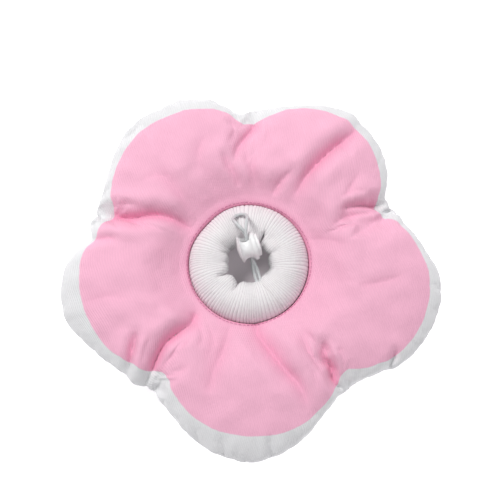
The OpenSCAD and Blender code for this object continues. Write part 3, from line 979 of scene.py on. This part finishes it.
def neck_cuff():
    around = RIBS * 8
    rows = 50
    a = np.linspace(0, 2 * math.pi, around, endpoint=False)
    deg = np.degrees(a)
    ang, rad = zip(*MOUTH)
    mouth = even(np.interp(deg, ang, rad, period=360) * MM, 11)
    wave = (np.sin(3 * a + 0.6) + 0.6 * np.sin(5 * a + 2.1)) * 0.5

    line = catmull(np.array(ROLL_LINE) * MM, 6)
    run = np.r_[0, np.cumsum(np.linalg.norm(np.diff(line, axis=0), axis=1))]
    s = np.linspace(0, 1, rows) ** 0.92
    base = np.c_[np.interp(s * run[-1], run, line[:, 0]), np.interp(s * run[-1], run, line[:, 1])]
    tip_r = base[-1, 0]
    half = np.interp(s, [0, 0.1, 0.75, 1], [1.2, 1.45, 1.5, 2.1]) * MM

    share = (base[0, 0] - base[:, 0]) / (base[0, 0] - tip_r)
    inner = (mouth + half[-1] * 0.9)[None, :]
    shoulder = ((neck_radius(a) - NECK)[None, :] * np.clip(1 - share * 1.6, 0, 1)[:, None])
    r = base[0, 0] - share[:, None] * (base[0, 0] - inner) + shoulder
    z = np.repeat(base[:, 1][:, None], around, axis=1)
    lift = np.sin(math.pi * np.clip(share, 0, 1)) ** 1.2
    z += lift[:, None] * (wave[None, :] * 0.9 * MM)
    under_lock = np.exp(-(((deg - 92 + 180) % 360 - 180) / 42) ** 4)
    z -= 1.5 * MM * (share ** 2)[:, None] * under_lock[None, :]
    puff = np.zeros_like(z)
    sink = np.zeros_like(z)
    for turn, depth, width, reach in PLEATS:
        off = ((deg - turn + 180) % 360) - 180
        arc = np.radians(off)[None, :] * r
        spread = width * MM * (1 + 1.5 * np.clip(1 - share, 0, 1))[:, None]
        run_in = np.clip((share - (1 - reach)) / reach, 0, 1)[:, None]
        run_in = run_in * run_in * (3 - 2 * run_in)
        sink += depth * MM * run_in * np.exp(-np.abs(arc / spread) ** 1.4)
        bulge = np.exp(-((np.abs(arc) - 2.6 * spread) / (1.6 * spread)) ** 2)
        puff += 0.35 * depth * MM * run_in * bulge
    mid = np.stack([r * np.cos(a), r * np.sin(a), z], -1)

    def normals(grid):
        du = np.roll(grid, -1, 1) - np.roll(grid, 1, 1)
        dv = np.gradient(grid, axis=0)
        n = np.cross(du, dv)
        return n / np.linalg.norm(n, axis=2)[:, :, None]

    n = normals(mid)
    if (n[5, :, 0] * np.cos(a) + n[5, :, 1] * np.sin(a)).mean() < 0:
        n = -n
    mid = mid + n * (puff * 0.6 - sink)[:, :, None]
    smooth_n = normals(mid)
    if (smooth_n * n).sum(2).mean() < 0:
        smooth_n = -smooth_n
    n = smooth_n
    tangent = np.gradient(mid, axis=0)
    tangent /= np.linalg.norm(tangent, axis=2)[:, :, None]

    # Ribs: round wales with narrow grooves that lean a little and vary in width.
    seed = np.random.default_rng(11)
    drift = sum(seed.uniform(-0.35, 0.35) * np.sin(k * a + seed.uniform(0, 6.28))
                for k in (2, 3, 5, 7, 11))
    phase = a / (2 * math.pi) * RIBS + drift
    lean = 0.9 * share[:, None] * np.sin(2 * a + 1.0)[None, :]
    f = (phase[None, :] + lean) % 1.0
    wale = 1 - np.abs(2 * f - 1) ** 3.0
    pitch = 2 * math.pi * r / RIBS
    high = np.clip(pitch * 0.24, 0.16 * MM, 0.5 * MM)
    ribs = high * (wale - 0.6)
    # Painted shade mask: near 1 in the narrow grooves between the wales, where the knit's colour is
    # darkened.
    painted_groove_shade = np.clip(1 - wale * 1.5, 0, 1)

    outer = mid + n * (half[:, None] + ribs)[:, :, None]
    lining = mid - n * (half[:, None] + ribs * 0.7)[:, :, None]
    cap = []
    for turn in np.linspace(0, math.pi, 9)[1:-1]:
        size = (half[-1] + ribs[-1] * (0.85 + 0.15 * math.cos(turn)))[:, None]
        cap.append(mid[-1] + size * (n[-1] * math.cos(turn) + tangent[-1] * math.sin(turn)))
    loops = list(outer) + cap + list(lining[::-1])
    marks = list(painted_groove_shade) + [painted_groove_shade[-1]] * len(cap) + list(painted_groove_shade[::-1])
    verts = np.concatenate(loops)
    total = len(loops)
    faces = []
    for i in range(total):
        j = (i + 1) % total
        k = np.arange(around)
        m = (k + 1) % around
        faces.append(np.c_[i * around + k, i * around + m, j * around + m, j * around + k])
    faces = np.concatenate(faces)
    cuff = mesh_piece("neck_cuff_knit", verts, faces)
    float_attribute(cuff, "painted_groove_shade", np.concatenate(marks))
    length = np.linspace(0, run[-1], rows)
    along = np.r_[length, np.full(len(cap), run[-1]), length[::-1]]
    point_uv(cuff, np.c_[np.tile(phase, total), np.repeat(along, around)])
    face_outward(cuff)
    finish_piece(cuff, KNIT, "collar", ["neck_cuff"])
    return cuff, outer, mid[-4]


cuff, cuff_outer, channel = neck_cuff()


def cord_in_channel():
    """The hidden part of the cord follows the gathered channel, then turns to the exit."""
    soft_line = np.stack([even(channel[:, k], 15) for k in range(3)], 1)
    count = len(soft_line)
    ring = [soft_line[int(d / 360 * count) % count] for d in range(313, 649, 7)]
    ends = []
    for side in (1, -1):
        start = EXIT + ACROSS * side * 1.4 * MM
        ends.append([start - FORWARD * 1.5 * MM, start - FORWARD * 2.4 * MM])
    inside = catmull(ends[0] + ring + ends[1][::-1], 3)
    hidden = face_outward(tube_mesh("drawcord_in_casing_cord", inside, CORD_D / 2, 12, ref=(0, 0, 1)), WELD)
    finish_piece(hidden, CORD, "collar", ["drawcord_in_casing"])


cord_in_channel()

# ------------------------------------------------------------------ stitching


def stitch_tree(name):
    """Geometry Nodes: lay one stitch on every short run of a curve."""
    tree = bpy.data.node_groups.new(name, "GeometryNodeTree")
    face = tree.interface
    face.new_socket("Curve", in_out="INPUT", socket_type="NodeSocketGeometry")
    sizes = {}
    for label, default in (("Spacing", 0.003), ("Stitch length", 0.002), ("Thread radius", 0.0002)):
        socket = face.new_socket(label, in_out="INPUT", socket_type="NodeSocketFloat")
        socket.default_value = default
        sizes[label] = socket.identifier
    thread = face.new_socket("Thread", in_out="INPUT", socket_type="NodeSocketMaterial")
    sizes["Thread"] = thread.identifier
    face.new_socket("Stitches", in_out="OUTPUT", socket_type="NodeSocketGeometry")
    new, link = tree.nodes.new, tree.links.new
    start, end = new("NodeGroupInput"), new("NodeGroupOutput")
    spread = new("GeometryNodeCurveToPoints")
    spread.mode = "LENGTH"
    link(start.outputs["Curve"], spread.inputs["Curve"])
    link(start.outputs["Spacing"], spread.inputs["Length"])
    bar = new("GeometryNodeMeshCylinder")
    bar.inputs["Vertices"].default_value = 8
    bar.inputs["Side Segments"].default_value = 4
    link(start.outputs["Thread radius"], bar.inputs["Radius"])
    link(start.outputs["Stitch length"], bar.inputs["Depth"])
    # Each stitch arches: its ends dip into the cloth.
    place = new("GeometryNodeInputPosition")
    part = new("ShaderNodeSeparateXYZ")
    link(place.outputs[0], part.inputs[0])

    def work_out(operation, first, second):
        node = new("ShaderNodeMath")
        node.operation = operation
        link(first, node.inputs[0])
        if isinstance(second, (int, float)):
            node.inputs[1].default_value = second
        else:
            link(second, node.inputs[1])
        return node.outputs[0]

    share = work_out("DIVIDE", part.outputs["Z"], start.outputs["Stitch length"])
    dip = work_out("MULTIPLY", work_out("POWER", share, 2), -0.0016)
    shift = new("ShaderNodeCombineXYZ")
    link(dip, shift.inputs["Y"])
    bend = new("GeometryNodeSetPosition")
    link(bar.outputs["Mesh"], bend.inputs["Geometry"])
    link(shift.outputs[0], bend.inputs["Offset"])
    put = new("GeometryNodeInstanceOnPoints")
    link(spread.outputs["Points"], put.inputs["Points"])
    link(bend.outputs[0], put.inputs["Instance"])
    link(spread.outputs["Rotation"], put.inputs["Rotation"])
    real = new("GeometryNodeRealizeInstances")
    link(put.outputs[0], real.inputs[0])
    coat = new("GeometryNodeSetMaterial")
    link(real.outputs[0], coat.inputs["Geometry"])
    link(start.outputs["Thread"], coat.inputs["Material"])
    link(coat.outputs[0], end.inputs["Stitches"])
    return tree, sizes


STITCHES, STITCH_SIZES = stitch_tree("row_of_stitches")


def stitch_row(name, line, closed, spacing, length, radius, material, nodes):
    curve = bpy.data.curves.new(name, "CURVE")
    curve.dimensions = "3D"
    curve.twist_mode = "Z_UP"
    spline = curve.splines.new("POLY")
    spline.points.add(len(line) - 1)
    spline.points.foreach_set("co", np.c_[line, np.ones(len(line))].ravel())
    spline.use_cyclic_u = closed
    guide = bpy.data.objects.new(name + "_guide", curve)
    scene.collection.objects.link(guide)
    rows = guide.modifiers.new("stitches", "NODES")
    rows.node_group = STITCHES
    for label, value in (("Spacing", spacing), ("Stitch length", length),
                         ("Thread radius", radius), ("Thread", material)):
        rows[STITCH_SIZES[label]] = value
    mesh = bpy.data.meshes.new_from_object(evaluated(guide))
    piece = bpy.data.objects.new(name, mesh)
    scene.collection.objects.link(piece)
    mesh.polygons.foreach_set("use_smooth", [True] * len(mesh.polygons))
    bpy.data.objects.remove(guide)
    return finish_piece(piece, material, "collar", nodes)


def cloth_height(piece, xy, lift):
    """Drop points onto a cloth piece from above."""
    out = []
    for x, y in xy:
        hit, where, _, _ = piece.ray_cast(Vector((x, y, 0.2)), Vector((0, 0, -1)))
        out.append((x, y, (where.z if hit else SEAM_Z) + lift))
    return np.array(out)


def stitching():
    a = np.radians(np.arange(0, 360, 1.5))
    reach = neck_radius(a) + 1.9 * MM + 0.35 * MM * np.sin(3 * a + 1)
    line = cloth_height(face_cloth, np.c_[reach * np.cos(a), reach * np.sin(a)], 0.00012)
    stitch_row("neck_topstitch_thread", line, True, 0.0031, 0.0019, 0.00021, MAUVE,
               ["neck_topstitch"])
    stitch_row("rim_seam_stitches", rim_line, True, 0.0032, 0.0014, 0.00018, WHITE_THREAD,
               ["rim_seam_thread"])
    # The join of the knit band runs up over the roll from the neck seam to the mouth.
    turn = np.linspace(math.radians(-51), math.radians(-58), len(cuff_outer))
    column = ((turn % (2 * math.pi)) / (2 * math.pi) * cuff_outer.shape[1]).astype(int)
    seam = np.array([cuff_outer[i, c] for i, c in enumerate(column)])[4:-2]
    seam[:, 2] += 0.0001
    stitch_row("cuff_join_stitches", seam, False, 0.0024, 0.0021, 0.00022, WHITE_THREAD,
               ["cuff_seam_thread"])


stitching()

# ------------------------------------------------------------------ cord lock


def lock_place(points):
    """From the lock's own axes (plunger out, along the cord, up) to the shared frame."""
    p = np.asarray(points, float)
    along = FORWARD * math.cos(SLOPE) + UP * math.sin(SLOPE)
    above = -FORWARD * math.sin(SLOPE) + UP * math.cos(SLOPE)
    centre = loop_point(LOCK_AT)
    return centre + p[:, :1] * ACROSS + p[:, 1:2] * along + p[:, 2:] * above


def rounded(profile, radius, steps=4):
    """Round the corners of an open profile; each point may bring its own radius."""
    out = [np.array(profile[0][:2], float)]
    for i in range(1, len(profile) - 1):
        p = np.array(profile[i][:2], float)
        size = profile[i][2] if len(profile[i]) > 2 else radius
        a, b = np.array(profile[i - 1][:2]) - p, np.array(profile[i + 1][:2]) - p
        la, lb = np.linalg.norm(a), np.linalg.norm(b)
        cut = min(size, 0.45 * la, 0.45 * lb)
        if cut < 1e-6:
            out.append(p)
            continue
        s, e = p + a / la * cut, p + b / lb * cut
        for k in range(steps + 1):
            t = k / steps
            out.append((1 - t) ** 2 * s + 2 * t * (1 - t) * p + t * t * e)
    out.append(np.array(profile[-1][:2], float))
    return np.array(out)


def turned(name, profile, around=96):
    """Turn a profile of (along, radius) round the plunger's axis."""
    p = np.array(profile) * MM
    a = np.linspace(0, 2 * math.pi, around, endpoint=False)
    verts = []
    for x, r in p:
        if r < 1e-7:
            verts.append(np.array([[x, 0, 0]]))
        else:
            verts.append(np.c_[np.full(around, x), r * np.cos(a), r * np.sin(a)])
    start = np.r_[0, np.cumsum([len(v) for v in verts])]
    faces = []
    for i in range(len(p) - 1):
        lo, hi = len(verts[i]), len(verts[i + 1])
        for k in range(around):
            m = (k + 1) % around
            q = [start[i] + (k if lo > 1 else 0), start[i] + (m if lo > 1 else 0),
                 start[i + 1] + (m if hi > 1 else 0), start[i + 1] + (k if hi > 1 else 0)]
            faces.append(tuple(dict.fromkeys(q)))
    return face_outward(mesh_piece(name, np.concatenate(verts), faces))


def slot_cutter(centre, length, height):
    """A rounded prism along the cord, for the hole through housing and plunger."""
    corner = 1.0
    ring = []
    for cx, cy, t0 in ((1, 1, 0), (-1, 1, 90), (-1, -1, 180), (1, -1, 270)):
        for t in np.radians(np.linspace(t0, t0 + 90, 7)):
            ring.append((centre + cx * (length / 2 - corner) + corner * math.cos(t),
                         cy * (height / 2 - corner) + corner * math.sin(t)))
    n = len(ring)
    verts = [(x * MM, y, z * MM) for y in (-0.02, 0.02) for x, z in ring]
    faces = [tuple(range(n)), tuple(range(2 * n - 1, n - 1, -1))]
    faces += [(i, i + n, (i + 1) % n + n, (i + 1) % n) for i in range(n)]
    cutter = mesh_piece("slot_cutter", verts, faces, False)
    return face_outward(cutter, WELD)


def bore_and_finish(piece, cutter, body, nodes):
    cut = piece.modifiers.new("slot", "BOOLEAN")
    cut.operation = "DIFFERENCE"
    cut.solver = "EXACT"
    cut.object = cutter
    made = bpy.data.meshes.new_from_object(evaluated(piece))
    piece.modifiers.clear()
    old, piece.data = piece.data, made
    bpy.data.meshes.remove(old)
    bpy.data.objects.remove(cutter)
    made.vertices.foreach_set("co", lock_place(read_points(made)).ravel())
    made.update()
    edge = piece.modifiers.new("moulded_edge", "BEVEL")
    edge.width = 0.00022
    edge.segments = 2
    edge.limit_method = "ANGLE"
    edge.angle_limit = math.radians(40)
    edge.use_clamp_overlap = True
    made.polygons.foreach_set("use_smooth", [True] * len(made.polygons))
    weighted = piece.modifiers.new("even_shading", "WEIGHTED_NORMAL")
    weighted.keep_sharp = True
    return finish_piece(piece, PLASTIC, body, nodes)


def cord_lock():
    waist = [(12.5 - 5 * math.cos(t), -1.9 + 5 * math.sin(t)) for t in np.linspace(-1.13, 1.13, 25)]
    dome = [(r, -8.7 + 25 - math.sqrt(625 - r * r)) for r in np.linspace(0, 9.7, 12)]
    shell = [(x, r) for r, x in dome] + [(-6.36, 10.25, 0.25)]
    shell += [(x, r) for r, x in waist]
    shell += [(2.72, 10.4, 0.3), (5.2, 10.4, 0.4), (5.2, 8.6, 0.3), (2.3, 8.6, 0.3), (2.3, 5.0, 0.3),
              (-7.2, 5.0, 0.8), (-7.2, 0.0)]
    housing = turned("cord_lock_housing", rounded(shell, 0.0))
    bore_and_finish(housing, slot_cutter(-1.95, 6.9, 5.8), "lock", ["lock_housing"])
    crown = [(8.7 - (30 - math.sqrt(900 - r * r)), r) for r in np.linspace(8.0, 0, 10)]
    stem = [(-3.0, 0.0), (-3.0, 4.7, 0.5), (5.0, 4.7, 0.2), (5.0, 8.3, 0.35), (7.45, 8.3, 0.7)]
    stem += crown
    plunger = turned("cord_lock_plunger", rounded(stem, 0.0))
    bore_and_finish(plunger, slot_cutter(1.3, 5.6, 5.6), "plunger", ["lock_plunger"])

    turns = 3
    start, travel = -7.2 + 0.35, 4.2 - 0.7
    k = np.linspace(0, 1, turns * 24 + 1)
    a = 2 * math.pi * turns * k
    coil = lock_place(np.c_[start + travel * k, 3 * np.cos(a), 3 * np.sin(a)] * MM)
    spring = face_outward(tube_mesh("cord_lock_spring_coil", coil, 0.3 * MM, 10, ref=ACROSS), WELD)
    finish_piece(spring, WIRE, "lock", ["lock_spring"])
    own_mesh(spring)
    return housing, plunger, spring


housing, plunger, spring = cord_lock()

bpy.context.view_layer.update()
